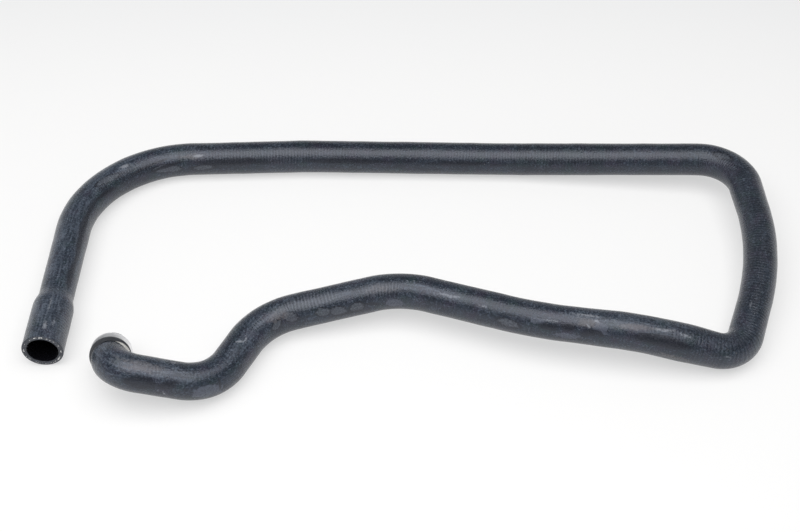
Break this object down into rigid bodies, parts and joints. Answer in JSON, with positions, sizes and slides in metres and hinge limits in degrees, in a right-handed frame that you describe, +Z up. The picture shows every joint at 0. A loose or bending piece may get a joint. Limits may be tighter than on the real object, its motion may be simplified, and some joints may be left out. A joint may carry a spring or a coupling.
{
  "type": "radiator hose",
  "caption": "Long moulded rubber coolant hose that turns back on itself in a loop, with a belled open end and a coupling held in the other end by a crimped metal cup.",
  "frame": {"origin": "on the table, under the middle of the bounding box", "axes": "+X runs along the loop from the belled end's leg to the far leg, +Y from the open mouth towards the far run, +Z up from the table the hose lies on"},
  "size_m": [0.72, 0.3608, 0.055],
  "materials": {
    "hose_rubber": "dull, chalky with age",
    "pressed_metal": "satin",
    "moulded_plastic": "matt",
    "seal_rubber": "smooth"
  },
  "bodies": {
    "root": {"hose": "hose_rubber", "crimp_ferrule": "pressed_metal", "coupling_insert": "moulded_plastic", "seal_ring": "seal_rubber"}
  },
  "joints": []
}
